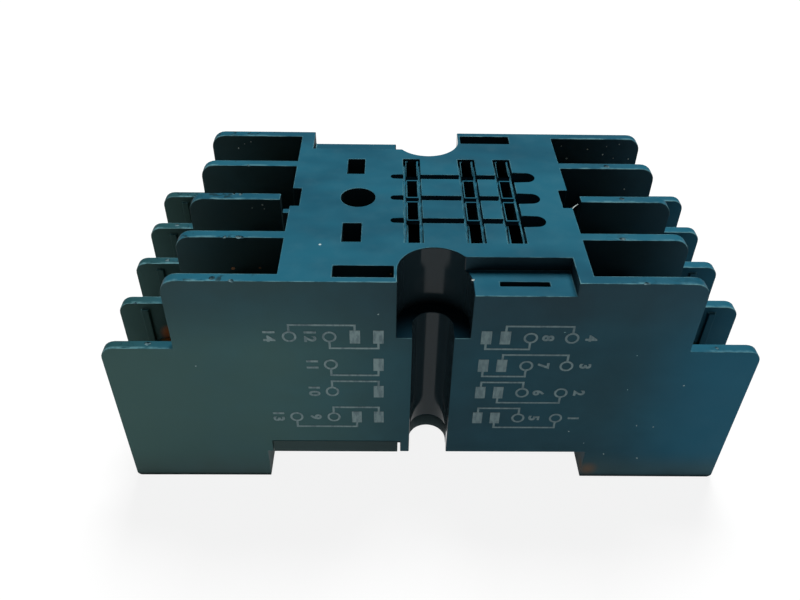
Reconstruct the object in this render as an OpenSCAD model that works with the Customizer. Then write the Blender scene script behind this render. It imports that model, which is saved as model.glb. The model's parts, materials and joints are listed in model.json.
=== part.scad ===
// Screw-terminal relay socket for a four-pole plug-in relay, for 35 mm rail or panel mounting.
// Origin: bottom centre. +X runs along the length, +Y into the depth, +Z up.
// All sizes are in millimetres.

/* [Housing] */
// Height from the feet to the top face
body_h = 29.1; // [27:0.1:32]
// Length of the raised block between the upper terminals
block_l = 30.3; // [29:0.1:34]
// Length of each upper bay, from the block to the upper fins' ends
upper_bay_l = 11.1; // [9.8:0.05:14]
// Step in length from the upper tier's fins to the lower tier's
tier_step = 7.5; // [6.6:0.05:10]
// Drop from the upper tier's fins to the lower tier's
tier_drop = 8.8; // [8:0.1:10]
// Clear width of each terminal bay
bay_w = 5.9; // [5.3:0.1:8]
// Thickness of each fin and of the front and back walls
fin_t = 1.2; // [1:0.05:1.5]
// Radius of the upper fins' top corners
upper_corner_r = 1.6; // [0.8:0.1:2.4]
// Radius of the lower fins' top corners
lower_corner_r = 1.4; // [0.8:0.1:2.4]
// Radius of the feet's outer corners
foot_corner_r = 0.6; // [0.4:0.1:1.1]

/* [Terminal decks] */
// Depth of the upper deck under the upper fins' tops
upper_deck_depth = 7.9; // [7:0.1:8.6]
// Depth of the lower deck under the lower fins' tops
lower_deck_depth = 7.8; // [7:0.1:8.6]
// Distance that the upper deck stays back from the upper fins' ends
riser_setback = 0.85; // [0.5:0.05:1]
// Distance that the lower deck stays back from the lower fins' ends
deck_setback = 1.15; // [0.6:0.05:1.3]
// Distance from the block to the upper terminal screws
upper_screw_inset = 5.45; // [5:0.05:6]
// Distance from the upper deck's end to the lower terminal screws
lower_screw_inset = 3.2; // [3.1:0.05:3.4]
// Distance from the lower terminal screws to the guide ribs on the fins
rib_inset = 1.9; // [1.6:0.1:2.2]
// Length of each guide rib along the fin
rib_l = 0.8; // [0.6:0.1:1]
// Distance that each guide rib stands out of its fin
rib_h = 0.25; // [0.15:0.05:0.3]
// Distance from each guide rib's top to the fin's top
rib_drop = 0.8; // [0.4:0.1:2]

/* [Rail notch] */
// Width of the notch that takes the 35 mm rail
notch_w = 36.3; // [36:0.1:36.6]
// Height of the rail notch
notch_h = 4.4; // [4.2:0.1:4.6]
// Distance that the fixed hooks reach under the rail
hook_reach = 1.3; // [1:0.1:1.6]
// Width of each fixed hook
hook_w = 3.6; // [3:0.1:4]
// Distance from the centre to each fixed hook
hook_y = 7.2; // [6.6:0.1:8]
// Height of the hooks' lower edge
hook_z = 0.8; // [0.6:0.1:1]
// Height of the hooks' upper edge, on which the rail's flange lies
hook_top_z = 2.9; // [2.6:0.1:3]

/* [Mounting screw recesses] */
// Width of the recess for the mounting screw's head
recess_w = 7.45; // [7:0.05:7.6]
// Depth of the shoulder under the mounting screw's head
recess_depth = 7.1; // [6:0.1:7.4]
// Width of the groove for the mounting screw's shank
groove_w = 4.2; // [4.1:0.05:4.6]
// Distance from the outer wall to the mounting screw's axis
recess_inset = 1.93; // [1.6:0.01:2.2]

/* [Relay side] */
// Pitch between the rows of blades
row_pitch = 4.4; // [4.3:0.05:4.5]
// Pitch between the common column and the next ones on both sides
column_pitch = 6.35; // [6.2:0.05:6.4]
// Pitch between the two contact columns
pair_pitch = 4.1; // [4:0.05:4.2]
// Position of the common column
common_x = -1.98; // [-2.1:0.01:-1.9]
// Width of the channel over each column
channel_w = 1.95; // [1.8:0.05:2.1]
// Depth of the channels and cross grooves
channel_d = 0.8; // [0.6:0.1:1]
// Thickness of the rim left beside the blade slots in each channel
rim_t = 0.15; // [0.1:0.05:0.2]
// Distance from the top face to the rims' tops
rim_drop = 0.25; // [0.1:0.05:0.4]
// Width of each blade slot
slot_w = 1.1; // [1:0.05:1.2]
// Length of each blade slot
slot_l = 3.5; // [3.3:0.05:3.6]
// Width of the cross grooves between the rows
cross_w = 0.87; // [0.7:0.01:1]
// Distance that the cross grooves reach past the common column
cross_reach = 2.4; // [2:0.1:2.6]
// Width of the deep slots at the ends of the cross grooves
key_w = 2.0; // [1.8:0.1:2.1]
// Length of those deep slots
key_l = 2.45; // [2:0.05:2.6]
// Depth of those deep slots
key_d = 1.8; // [1.4:0.1:1.9]
// Length of each coil hole along the rows
coil_hole_l = 3.3; // [3:0.1:3.5]
// Diameter of the locating hole
pilot_d = 3.75; // [3.5:0.05:4]
// Position of the locating hole along the length
pilot_x = -7.9; // [-8.3:0.1:-7.6]
// Depth of the locating hole
pilot_depth = 8.0; // [5:0.5:10]

/* [Cut-outs in the top] */
// Depth of the finger cut beside each mounting recess
finger_d = 1.6; // [1:0.1:2]
// Distance from the block's end to the finger cut's far end
finger_end = 1.55; // [1.2:0.05:2.2]
// Distance that the finger cut reaches in from the wall
finger_l = 4.1; // [3.6:0.1:4.2]
// Length of the narrow pocket in the finger cut's floor
pocket_l = 4.9; // [4:0.1:5.4]
// Width of the narrow pocket in the finger cut's floor
pocket_w = 0.7; // [0.6:0.1:1]
// Distance from the centre to that pocket's middle
pocket_x = 8.8; // [8:0.1:9.4]
// Distance from the wall to that pocket's middle
pocket_inset = 1.9; // [1.6:0.1:2.2]
// Width of the marking pocket beside the other side of the recess
mark_w = 1.8; // [1.4:0.1:2]
// Length of the marking pocket
mark_l = 5.9; // [5.4:0.1:6.4]
// Thickness of the wall between the mounting recess and the marking pocket
mark_wall = 0.3; // [0.2:0.05:0.6]
// Distance from the wall to the marking pocket's middle
mark_inset = 1.7; // [1.6:0.1:2]
// Depth of the marking pocket and the narrow pocket
mark_d = 3.0; // [2:0.1:4]
// Width of the clip notch in each end of the block
clip_w = 3.5; // [3:0.1:3.8]
// Depth of the clip notch
clip_d = 1.0; // [0.6:0.1:1.1]
// Gap between the block and the middle fin, for the retaining clip
clip_gap = 1.15; // [0.9:0.05:1.4]
// Length of the catch beside the left end's clip notch
catch_l = 0.8; // [0.6:0.1:1]
// Distance that the catch stands out of the block
catch_h = 0.7; // [0.4:0.1:0.8]

/* [Terminal screws] */
// Diameter of the terminal screws' thread, M3
screw_d = 3.0; // [2.9:0.1:3]
// Length of each terminal screw under its head
screw_l = 6.5; // [6:0.1:6.6]
// Gap between each terminal screw's head and the fins
head_gap = 0.2; // [0.15:0.05:0.3]
// Height of each terminal screw's head
head_h = 2.0; // [1.8:0.1:2.2]
// Width of the screwdriver slot
drive_w = 0.9; // [0.8:0.1:1]
// Depth of the screwdriver slot
drive_d = 1.0; // [0.8:0.1:1.1]
// Span of the cross recess in the screw's head
cross_span = 3.2; // [2.8:0.1:3.4]
// Gap between each clamp washer and the guide ribs
clamp_gap = 0.1; // [0.05:0.05:0.2]
// Thickness of each clamp washer
clamp_t = 0.8; // [0.6:0.1:0.9]
// Gap round each screw in its washer and in its contact's thread
thread_gap = 0.05; // [0.03:0.01:0.08]
// Gap round each screw in the housing
bore_gap = 0.35; // [0.3:0.05:0.45]
// Space left under each screw's tip
tip_space = 0.6; // [0.4:0.1:0.9]

/* [Contacts] */
// Thickness of the contact pads
pad_t = 0.8; // [0.7:0.05:0.9]
// Length of each contact pad along the bay
pad_l = 5.6; // [5.4:0.1:5.8]
// Distance that each clamp washer stands over its pad across the bay
pad_inset = 0.1; // [0:0.05:0.3]
// Thickness of the folded sheet inside the housing
sheet_t = 0.6; // [0.5:0.05:0.65]
// Height of the folded sheet that runs to each inner blade
neck_h = 2.6; // [2.2:0.1:2.8]
// Height of each spring leaf
leaf_h = 6.2; // [5.6:0.1:6.4]
// Thickness of each spring leaf
leaf_t = 0.4; // [0.35:0.05:0.45]
// Width of each spring leaf
leaf_w = 2.4; // [2:0.1:2.5]
// Gap between the two leaves where they grip the blade
grip_gap = 0.4; // [0.3:0.05:0.45]
// Gap left round a contact in the housing
seat_gap = 0.15; // [0.1:0.01:0.2]
// Outer diameter of the threaded collar under each pad
collar_d = 4.4; // [4.2:0.1:4.6]
// Height of the threaded collar
collar_h = 1.2; // [0.8:0.1:1.4]

/* [Base cover] */
// Thickness of the base cover
cover_t = 1.8; // [1.6:0.1:2]
// Distance from the notch's ends to the cover's ends
cover_inset = 0.75; // [0.6:0.05:1]
// Gap round the cover in the housing
cover_gap = 0.1; // [0.05:0.01:0.15]
// Width of the slit between the cover's lug and the wall
lug_slit = 0.3; // [0.2:0.05:0.4]
// Width of the wall's tongue beside the groove
tongue_w = 1.0; // [0.8:0.1:1.2]

/* [Rail latch] */
// Width of the rail latch
latch_w = 8.7; // [8:0.1:9]
// Thickness of the rail latch
latch_t = 2.8; // [2.6:0.1:2.9]
// Gap round the latch in its channel
latch_gap = 0.1; // [0.08:0.01:0.15]
// Distance that the latch's nose reaches under the rail
latch_reach = 2.2; // [2:0.1:2.3]
// Travel of the rail latch
latch_travel = 2.5; // [2.3:0.1:2.6]
// Distance from the latch's outer end to the fins' ends
latch_setback = 3.05; // [2.8:0.05:3.2]
// Length of the stop that limits the latch's travel
stop_l = 2.0; // [1.6:0.1:2.4]
// Width of the stop
stop_w = 2.6; // [2:0.1:3]
// Distance from the notch's end to the stop's middle
stop_inset = 6.85; // [6.4:0.05:7.2]
// Width of the screwdriver slot in the latch's tab
tab_slot_l = 1.2; // [1:0.1:1.4]

/* [Hidden] */
// Margin by which cuts run past the faces they open
cut = 0.5;
// Sides in each quarter of a rounded outline corner
corner_steps = 6;
// Degrees in one whole turn
full_turn = 360;
// Wall over the receptacle chambers, under the channels
chamber_roof = 1.4;
// Half-widths of each receptacle chamber along X and Y
chamber_x = 1.5;
chamber_y = 1.4;
// Half-width of the receptacle's foot along X
foot_x = 1.1;
// Half-width of the flat strip and of the riser under each outer blade
strip_y = 1.0;
// Distances behind the riser at which the lower tier's strips step towards their pads
spread_l = 6.0;
spread_end = 0.6;
// Thickness of the block's end walls, and length of the fold behind them
end_wall = 0.8;
fold_l = 1.6;
// Roof over the hollows under the feet, their half-width and their end margins
hollow_roof = 7.1;
hollow_y = 2.3;
hollow_in = 1.6;
hollow_out = 2.4;
// Height left of the nose's tip, and setback of the shoulder behind the nose
nose_t = 0.9;
nose_back = 0.4;
// Length and half-width of the tab's opening in the channel's floor
access_l = 5.0;
access_y = 3.2;
// Half-width of the tab's slot, and its distance from the tab's end
tab_slot_y = 2.2;
tab_end = 1.0;
// Corner radius of the clamp washers, and chamfer at the screws' tips
clamp_corner_r = 0.5;
tip_chamfer = 0.5;
// Share of a screw head's height and radius at which its rounded edge starts and ends
head_side = 0.5;
head_flat = 0.6;
// Share of a leaf's height at which it grips the blade, and its flare above
grip_at = 0.78;
leaf_flare = 0.45;
$fn = 48;

fin_pitch = bay_w + fin_t;
wall_y = 2 * fin_pitch + fin_t / 2;
block_x = block_l / 2;
notch_x = notch_w / 2;
upper_x = block_x + upper_bay_l;
body_x = upper_x + tier_step;
upper_deck_x = upper_x - riser_setback;
lower_deck_x = body_x - deck_setback;
upper_screw_x = block_x + upper_screw_inset;
lower_screw_x = upper_deck_x + lower_screw_inset;
rib_x = lower_screw_x + rib_inset;
lower_h = body_h - tier_drop;
upper_deck_z = body_h - upper_deck_depth;
lower_deck_z = lower_h - lower_deck_depth;
recess_z = body_h - recess_depth;
hollow_h = lower_deck_z - hollow_roof;
finger_x = block_x - finger_end;
head_d = bay_w - 2 * head_gap;
clamp_side = bay_w - 2 * rib_h - 2 * clamp_gap;
pad_w = clamp_side - 2 * pad_inset;
cover_x = notch_x - cover_inset;
stop_x = notch_x + stop_inset;
bore_r = screw_d / 2 + bore_gap;
pair_x = common_x + column_pitch;
outer_x = pair_x + pair_pitch;
coil_x = common_x - column_pitch;
column_l = 3 * row_pitch + slot_l;
recess_y = wall_y - recess_inset;
cover_z = notch_h + cover_t;
chamber_top = body_h - channel_d - chamber_roof;
fork_z = upper_deck_z + pad_t - neck_h;
latch_z = hook_z + latch_gap;
latch_end_x = body_x - latch_setback;
latch_nose_x = notch_x - latch_reach;

// One row per terminal: number, side, whether it is in the upper tier, bay, blade column
TERMINALS = [
    for (k = [0:3]) [1 + k, 1, false, k, outer_x],
    for (k = [0:3]) [5 + k, 1, true, k, pair_x],
    for (k = [0:3]) [9 + k, -1, true, k, common_x],
    [13, -1, false, 0, coil_x],
    [14, -1, false, 3, coil_x],
];
NUMBERS = [for (n = [1:14]) n];

function terminal(n) = [for (t = TERMINALS) if (t[0] == n) t][0];
function side(t) = t[1];
function is_upper(t) = t[2];
function bay_y(k) = (k - 1.5) * fin_pitch;
function row_y(k) = (k - 1.5) * row_pitch;
function neck_y(k) = row_y(k) + sign(row_y(k)) * row_pitch / 2;
function screw_x(t) = is_upper(t) ? upper_screw_x : lower_screw_x;
function deck_z(t) = is_upper(t) ? upper_deck_z : lower_deck_z;
function clamp_z(t) = deck_z(t) + pad_t;
function head_z(t) = clamp_z(t) + clamp_t;
function tip_z(t) = head_z(t) - screw_l;
function span(a, b) = [min(a, b), max(a, b)];

// Outline helpers: a corner point carries its radius, and becomes an arc
function unit(v) = v / norm(v);
function corner(a, p, b, r) =
    r <= 0 ? [p] :
    let (
        u = unit(a - p),
        w = unit(b - p),
        half = acos(u * w) / 2,
        centre = p + unit(u + w) * r / sin(half),
        start = p + u * r / tan(half) - centre,
        stop = p + w * r / tan(half) - centre,
        from = atan2(start.y, start.x),
        turn = (atan2(stop.y, stop.x) - from + 1.5 * full_turn) % full_turn - full_turn / 2
    )
    [for (i = [0:corner_steps]) centre + r * [cos(from + turn * i / corner_steps),
                                              sin(from + turn * i / corner_steps)]];
function xy(p) = [p[0], p[1]];
function rounded(points) =
    let (n = len(points))
    [for (i = [0:n - 1])
        each corner(xy(points[(i + n - 1) % n]), xy(points[i]), xy(points[(i + 1) % n]), points[i][2])];

// A box between two corners
module block(low, high) {
    translate(low) cube(high - low);
}

// Children drawn in X and Z, extruded from y0 to y1
module along_y(y0, y1) {
    translate([0, y1, 0]) rotate([90, 0, 0]) linear_extrude(y1 - y0) children();
}

// Children as drawn, and turned half round the vertical axis
module both_ends() {
    children();
    rotate([0, 0, 180]) children();
}

// Stepped outline of one fin, from x0 to its outer end
module fin_outline(x0, z0) {
    polygon(rounded([
        [x0, z0, 0],
        [notch_x, z0, 0],
        [notch_x, 0, 0],
        [body_x, 0, foot_corner_r],
        [body_x, lower_h, lower_corner_r],
        [upper_x, lower_h, 0],
        [upper_x, body_h, upper_corner_r],
        [x0, body_h, 0],
    ]));
}

// Front or back wall: the whole stepped outline, centred on y
module wall(y) {
    along_y(y - fin_t / 2, y + fin_t / 2) {
        fin_outline(0, notch_h);
        mirror([1, 0]) fin_outline(0, notch_h);
    }
}

// Inner fins of one side; the middle one leaves room for the retaining clip
module inner_fins() {
    for (k = [1:3]) {
        y = (k - 2) * fin_pitch;
        x0 = k == 2 ? block_x + clip_gap : block_x - cut;
        along_y(y - fin_t / 2, y + fin_t / 2) fin_outline(x0, notch_h);
    }
}

// Guide ribs on both faces of every lower bay
module guide_ribs() {
    for (k = [0:3], s = [-1, 1]) {
        face = bay_y(k) + s * (fin_pitch - fin_t) / 2;
        y = span(face - s * rib_h, face + s * fin_t / 2);
        block([rib_x, y[0], lower_deck_z - cut], [rib_x + rib_l, y[1], lower_h - rib_drop]);
    }
}

// Centre block, decks and feet, as one stepped section through the full width
module core_section() {
    polygon([
        [0, notch_h],
        [notch_x, notch_h],
        [notch_x, 0],
        [lower_deck_x, 0],
        [lower_deck_x, lower_deck_z],
        [upper_deck_x, lower_deck_z],
        [upper_deck_x, upper_deck_z],
        [block_x, upper_deck_z],
        [block_x, body_h],
        [0, body_h],
    ]);
}

// One side of the moulding, before anything is cut from it
module half_body() {
    along_y(-wall_y + fin_t / 2, wall_y - fin_t / 2) core_section();
    inner_fins();
    guide_ribs();
}

// Fixed hooks under the rail's flange
module fixed_hooks() {
    for (s = [-1, 1]) {
        along_y(s * hook_y - hook_w / 2, s * hook_y + hook_w / 2)
            polygon([
                [notch_x + cut, hook_z],
                [notch_x, hook_z],
                [notch_x - hook_reach, hook_top_z - hook_reach / 2],
                [notch_x - hook_reach, hook_top_z],
                [notch_x + cut, hook_top_z],
            ]);
    }
}

// U-shaped recess of width w from the front wall, from height z0 up
module screw_recess(w, z0, z1) {
    translate([0, -recess_y, z0]) cylinder(d = w, h = z1 - z0);
    block([-w / 2, -wall_y - cut, z0], [w / 2, -recess_y, z1]);
}

// Mounting recesses, finger cuts and pockets, drawn for the front
module top_cuts() {
    floor_z = body_h - finger_d;
    screw_recess(recess_w, recess_z, body_h + cut);
    screw_recess(groove_w, notch_h - cut, body_h + cut);
    block([0, -wall_y - cut, floor_z], [finger_x, -wall_y + finger_l, body_h + cut]);
    translate([pocket_x - pocket_l / 2, -wall_y + pocket_inset - pocket_w / 2, floor_z - mark_d])
        cube([pocket_l, pocket_w, mark_d + cut]);
    translate([-recess_w / 2 - mark_wall - mark_l, -wall_y + mark_inset - mark_w / 2, body_h - mark_d])
        cube([mark_l, mark_w, mark_d + cut]);
    block([block_x - clip_d, -clip_w / 2, upper_deck_z], [block_x + cut, clip_w / 2, body_h + cut]);
}

// Small catch beside the clip notch in the left end
module clip_catch() {
    block([-block_x - catch_h, -clip_w / 2 - catch_l, upper_deck_z - cut],
          [-block_x + cut, -clip_w / 2, body_h - channel_d / 2]);
}

// Channels, cross grooves, blade slots, coil holes and the locating hole
module blade_face() {
    floor_z = body_h - channel_d;
    side_w = (channel_w - slot_w) / 2 - rim_t;
    for (x = [common_x, pair_x, outer_x]) {
        translate([x - channel_w / 2, -column_l / 2, body_h - rim_drop])
            cube([channel_w, column_l, rim_drop + cut]);
        for (side_x = [x - channel_w / 2, x + channel_w / 2 - side_w])
            translate([side_x, -column_l / 2, floor_z]) cube([side_w, column_l, channel_d]);
        for (k = [0:3])
            translate([x - slot_w / 2, row_y(k) - slot_l / 2, chamber_top - cut])
                cube([slot_w, slot_l, body_h - chamber_top + cut]);
    }
    for (k = [0, 3])
        translate([coil_x - channel_w / 2, row_y(k) - coil_hole_l / 2, chamber_top - cut])
            cube([channel_w, coil_hole_l, body_h - chamber_top + 2 * cut]);
    for (j = [-1:1]) {
        key_x = outer_x + channel_w / 2;
        round_x = common_x - cross_reach + cross_w / 2;
        translate([round_x, j * row_pitch, floor_z]) {
            cylinder(d = cross_w, h = channel_d + cut);
            translate([0, -cross_w / 2, 0]) cube([key_x - round_x, cross_w, channel_d + cut]);
        }
        translate([0, j * row_pitch, body_h - key_d]) {
            block([key_x, -key_w / 2, 0], [key_x + key_l - key_w / 2, key_w / 2, key_d + cut]);
            translate([key_x + key_l - key_w / 2, 0, 0]) cylinder(d = key_w, h = key_d + cut);
        }
    }
    translate([pilot_x, 0, body_h - pilot_depth]) cylinder(d = pilot_d, h = pilot_depth + cut);
}

// Flat box of a contact's sheet, grown by g on all sides but its underside
module sheet(x, y, z0, z1, g = 0) {
    xs = span(x[0], x[1]);
    ys = span(y[0], y[1]);
    block([xs[0] - g, ys[0] - g, z0], [xs[1] + g, ys[1] + g, z1 + g]);
}

// Folded sheet from an upper pad to the foot of its receptacle
module upper_route(t, g = 0) {
    s = side(t);
    k = t[3];
    ny = neck_y(k);
    half = sheet_t / 2;
    fold_x = s * (block_x - end_wall);
    tongue = span(ny, bay_y(k));
    sheet([t[4], fold_x], [ny - half, ny + half], fork_z, clamp_z(t), g);
    sheet([fold_x - s * fold_l, s * (upper_screw_x - pad_l / 2 + sheet_t)],
          [tongue[0] - half, tongue[1] + half], upper_deck_z, clamp_z(t), g);
    foot = span(ny, row_y(k));
    sheet([t[4] - foot_x, t[4] + foot_x], [foot[0] - half, foot[1] + half], fork_z, fork_z + sheet_t, g);
}

// Flat strip from a lower pad, and the riser to the foot of its receptacle
module lower_route(t, g = 0) {
    s = side(t);
    k = t[3];
    shift = span(row_y(k), bay_y(k));
    wide = [s * (upper_deck_x - spread_l), s * (upper_deck_x - spread_end)];
    sheet([t[4], wide[0] + s * strip_y], [row_y(k) - strip_y, row_y(k) + strip_y],
          lower_deck_z, clamp_z(t), g);
    sheet(wide, [shift[0] - strip_y, shift[1] + strip_y], lower_deck_z, clamp_z(t), g);
    sheet([wide[1] - s * strip_y, s * (lower_screw_x - pad_l / 2 + strip_y)],
          [bay_y(k) - strip_y, bay_y(k) + strip_y], lower_deck_z, clamp_z(t), g);
    sheet([t[4] - sheet_t / 2, t[4] + sheet_t / 2], [row_y(k) - strip_y, row_y(k) + strip_y],
          lower_deck_z, fork_z + sheet_t, g);
}

module route(t, g = 0) {
    if (is_upper(t)) upper_route(t, g);
    else lower_route(t, g);
}

// One spring leaf of a receptacle, drawn for the +X side of the blade
module leaf() {
    foot_top = fork_z + sheet_t / 2;
    grip_z = fork_z + sheet_t + leaf_h * grip_at;
    top_z = fork_z + sheet_t + leaf_h;
    along_y(-leaf_w / 2, leaf_w / 2)
        polygon([
            [foot_x - leaf_t, foot_top],
            [foot_x, foot_top],
            [grip_gap / 2 + leaf_t, grip_z],
            [grip_gap / 2 + leaf_t + leaf_flare, top_z],
            [grip_gap / 2 + leaf_flare, top_z],
            [grip_gap / 2, grip_z],
        ]);
}

// Foot and the two leaves that grip one blade of the relay
module receptacle(x, y) {
    translate([x, y, 0]) {
        block([-foot_x, -leaf_w / 2, fork_z], [foot_x, leaf_w / 2, fork_z + sheet_t]);
        leaf();
        mirror([1, 0, 0]) leaf();
    }
}

// Vertical column round a terminal's screw axis, from z0 to z1
module at_screw(t, r, z0, z1) {
    translate([side(t) * screw_x(t), bay_y(t[3]), z0]) cylinder(r = r, h = z1 - z0);
}

// Bore under one terminal: room for the collar, then for the screw's shank
module screw_bore(t) {
    collar_z = deck_z(t) - collar_h - seat_gap;
    translate([side(t) * screw_x(t), bay_y(t[3]), 0]) rotate_extrude()
        polygon([
            [0, tip_z(t) - tip_space],
            [bore_r, tip_z(t) - tip_space],
            [bore_r, collar_z],
            [collar_d / 2 + seat_gap, collar_z],
            [collar_d / 2 + seat_gap, deck_z(t) + cut],
            [0, deck_z(t) + cut],
        ]);
}

// Room in the housing for one contact and its screw
module contact_room(t) {
    g = seat_gap;
    px = t[4];
    py = row_y(t[3]);
    block([px - chamber_x, py - chamber_y, cover_z - cut], [px + chamber_x, py + chamber_y, chamber_top]);
    route(t, g);
    if (is_upper(t)) {
        // The folded neck and its foot go in from below
        half = sheet_t / 2 + g;
        ny = neck_y(t[3]);
        neck = span(px, side(t) * (block_x - end_wall));
        foot = span(ny, py);
        block([neck[0] - g, ny - half, cover_z - cut], [neck[1] + g, ny + half, fork_z + g]);
        block([px - foot_x - g, foot[0] - half, cover_z - cut], [px + foot_x + g, foot[1], fork_z + g]);
    }
    screw_bore(t);
}

// Hollows under the feet; the latch's channel takes their place in the middle of one foot
module foot_hollows() {
    for (k = [0:3], s = [-1, 1])
        if (s > 0 || abs(bay_y(k)) - hollow_y > latch_w / 2) {
            x = span(s * (notch_x + hollow_in), s * (lower_deck_x - hollow_out));
            block([x[0], bay_y(k) - hollow_y, -cut], [x[1], bay_y(k) + hollow_y, hollow_h]);
        }
}

// Seat of the base cover, with the window that its lug closes
module cover_room() {
    y = wall_y - fin_t;
    block([-cover_x - cover_gap, -y, notch_h - cut], [cover_x + cover_gap, y, cover_z]);
    both_ends()
        block([-cover_x - cover_gap, -wall_y - cut, notch_h - cut], [-groove_w / 2 - tongue_w, -y + cut, cover_z]);
}

// Channel of the rail latch, with the stop left standing and the tab open from below
module latch_room() {
    half = latch_w / 2 + latch_gap;
    end_x = -body_x - cut;
    difference() {
        block([end_x, -half, hook_z], [cut - notch_x, half, latch_z + latch_t + latch_gap]);
        block([-stop_x - stop_l / 2, -stop_w / 2, 0], [-stop_x + stop_l / 2, stop_w / 2, notch_h]);
    }
    block([end_x, -access_y, -cut], [access_l - latch_end_x, access_y, hook_z + cut]);
}

module housing() {
    color("#24606f") difference() {
        union() {
            wall(-wall_y + fin_t / 2);
            wall(wall_y - fin_t / 2);
            half_body();
            mirror([1, 0, 0]) half_body();
            fixed_hooks();
            clip_catch();
        }
        both_ends() top_cuts();
        blade_face();
        for (t = TERMINALS) contact_room(t);
        foot_hollows();
        cover_room();
        latch_room();
    }
}

module base_cover() {
    y = wall_y - fin_t - cover_gap;
    lug_x = groove_w / 2 + tongue_w + lug_slit;
    color("#1f5462") difference() {
        union() {
            block([-cover_x, -y, notch_h], [cover_x, y, cover_z]);
            both_ends() block([-cover_x, -wall_y, notch_h], [-lug_x, -y + cut, cover_z]);
        }
        both_ends() screw_recess(groove_w, notch_h - cut, cover_z + cut);
    }
}

module rail_latch() {
    top_z = latch_z + latch_t;
    window = [-stop_x - stop_l / 2 - latch_gap, -stop_x + stop_l / 2 + latch_travel + latch_gap];
    slot_x = tab_end - latch_end_x;
    color("#1c4a57") difference() {
        along_y(-latch_w / 2, latch_w / 2)
            polygon([
                [-latch_end_x, latch_z],
                [-notch_x, latch_z],
                [-latch_nose_x, hook_top_z - nose_t],
                [-latch_nose_x, hook_top_z],
                [-notch_x - nose_back, hook_top_z],
                [-notch_x - nose_back, top_z],
                [-latch_end_x, top_z],
            ]);
        block([window[0], -stop_w / 2 - latch_gap, 0], [window[1], stop_w / 2 + latch_gap, notch_h]);
        block([slot_x, -tab_slot_y, 0], [slot_x + tab_slot_l, tab_slot_y, notch_h]);
    }
}

// Contact strip: pad with its threaded collar, folded sheet and receptacle
module contact(n) {
    t = terminal(n);
    x = side(t) * screw_x(t);
    y = bay_y(t[3]);
    color("#b08d4c") difference() {
        union() {
            block([x - pad_l / 2, y - pad_w / 2, deck_z(t)], [x + pad_l / 2, y + pad_w / 2, clamp_z(t)]);
            at_screw(t, collar_d / 2, deck_z(t) - collar_h, clamp_z(t));
            route(t);
            receptacle(t[4], row_y(t[3]));
        }
        at_screw(t, screw_d / 2 + thread_gap, deck_z(t) - collar_h - cut, clamp_z(t) + cut);
    }
}

// Square captive washer that clamps the wire
module clamp_washer(n) {
    t = terminal(n);
    h = clamp_side / 2;
    r = clamp_corner_r;
    color("#c2a968") difference() {
        translate([side(t) * screw_x(t), bay_y(t[3]), clamp_z(t)])
            linear_extrude(clamp_t) polygon(rounded([[-h, -h, r], [h, -h, r], [h, h, r], [-h, h, r]]));
        at_screw(t, screw_d / 2 + thread_gap, clamp_z(t) - cut, head_z(t) + cut);
    }
}

// Pan-headed terminal screw with a slot and a short cross recess
module terminal_screw(n) {
    t = terminal(n);
    r = screw_d / 2;
    edge = head_d / 2 * (1 - head_flat);
    side_h = head_h * head_side;
    color("#c9b06a") translate([side(t) * screw_x(t), bay_y(t[3]), head_z(t)]) difference() {
        rotate_extrude()
            polygon([
                [0, -screw_l],
                [r - tip_chamfer, -screw_l],
                [r, -screw_l + tip_chamfer],
                [r, 0],
                [head_d / 2, 0],
                for (i = [0:corner_steps])
                    [head_d / 2 - edge * (1 - cos(90 * i / corner_steps)),
                     side_h + (head_h - side_h) * sin(90 * i / corner_steps)],
                [0, head_h],
            ]);
        block([-head_d, -drive_w / 2, head_h - drive_d], [head_d, drive_w / 2, head_h + cut]);
        block([-drive_w / 2, -cross_span / 2, head_h - drive_d], [drive_w / 2, cross_span / 2, head_h + cut]);
    }
}

housing();
base_cover();
rail_latch();
for (n = NUMBERS) {
    contact(n);
    clamp_washer(n);
    terminal_screw(n);
}
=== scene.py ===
"""Looks of a four-pole relay socket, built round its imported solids.

Lengths in the classes below are in millimetres, and meshes are made in metres.
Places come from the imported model's own boxes, so the looks follow the solids.
"""

from __future__ import annotations

import json
import logging
import math
from abc import ABC, abstractmethod
from contextlib import contextmanager
from dataclasses import dataclass
from enum import Enum
from typing import Any, Callable, Iterable, Iterator

import bmesh
import bpy
from bpy.types import Material, Node, NodeSocket, NodeTree, Object
from mathutils import Matrix, Vector

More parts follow.
